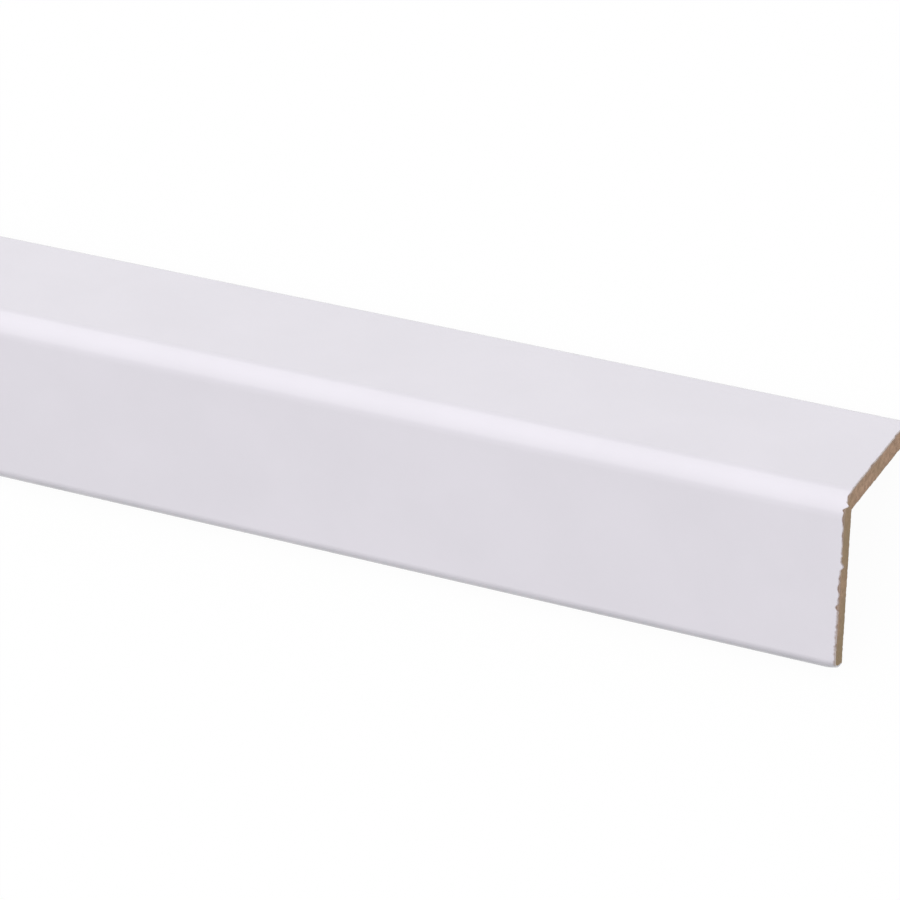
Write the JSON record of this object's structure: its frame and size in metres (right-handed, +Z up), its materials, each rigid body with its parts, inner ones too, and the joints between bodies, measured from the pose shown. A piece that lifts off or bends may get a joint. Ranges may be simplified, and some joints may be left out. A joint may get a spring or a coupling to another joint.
{
  "type": "corner guard moulding",
  "caption": "Straight L-shaped MDF moulding with equal legs, a rounded white outer corner and rounded free edges, fixed over the outside corner of a wall to cover and protect it.",
  "frame": {"origin": "middle of the length, on the floor below the nose, with the moulding lying on its free edges", "axes": "+X along the length, +Y across from one leg to the other, +Z up through the nose"},
  "size_m": [2.4, 0.0432, 0.0236],
  "materials": {
    "white_coated_mdf": "satin white coat on the outer faces and free edges, raw brown fibreboard on the sawn ends and the back"
  },
  "bodies": {
    "root": {"corner_guard": "white_coated_mdf"}
  },
  "joints": []
}
